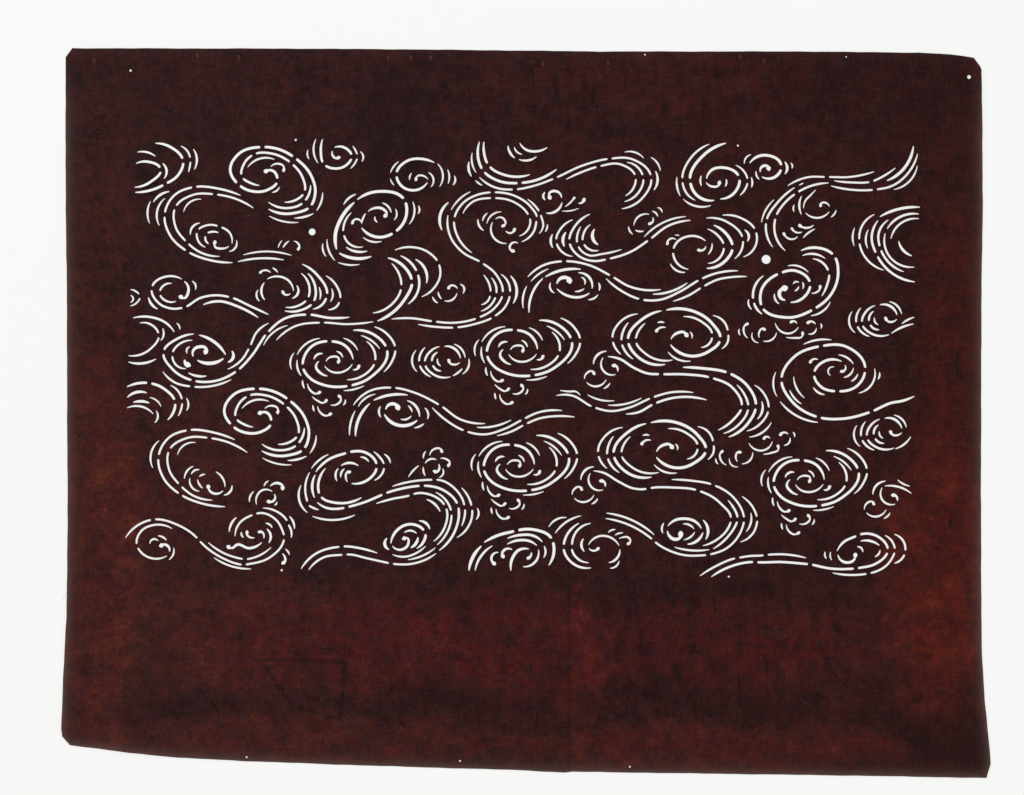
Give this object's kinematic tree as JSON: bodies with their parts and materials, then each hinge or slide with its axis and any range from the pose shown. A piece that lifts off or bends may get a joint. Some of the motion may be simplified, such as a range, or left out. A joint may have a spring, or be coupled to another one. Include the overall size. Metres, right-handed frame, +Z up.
{
  "type": "kimono stencil",
  "caption": "Flat sheet of tanned laminated paper, cut through with curved slits that form a pattern of swirling water, used to print dye resist on cloth.",
  "frame": {"origin": "middle of the underside of the sheet, which lies flat", "axes": "+Z up out of the printed face, +X along the sheet's width to the right, +Y towards its top edge"},
  "size_m": [0.418, 0.3284, 0.0003],
  "materials": {
    "tanned_paper": "matte, slightly waxy persimmon-tanned paper"
  },
  "bodies": {
    "root": {"stencil_sheet": "tanned_paper"}
  },
  "joints": []
}
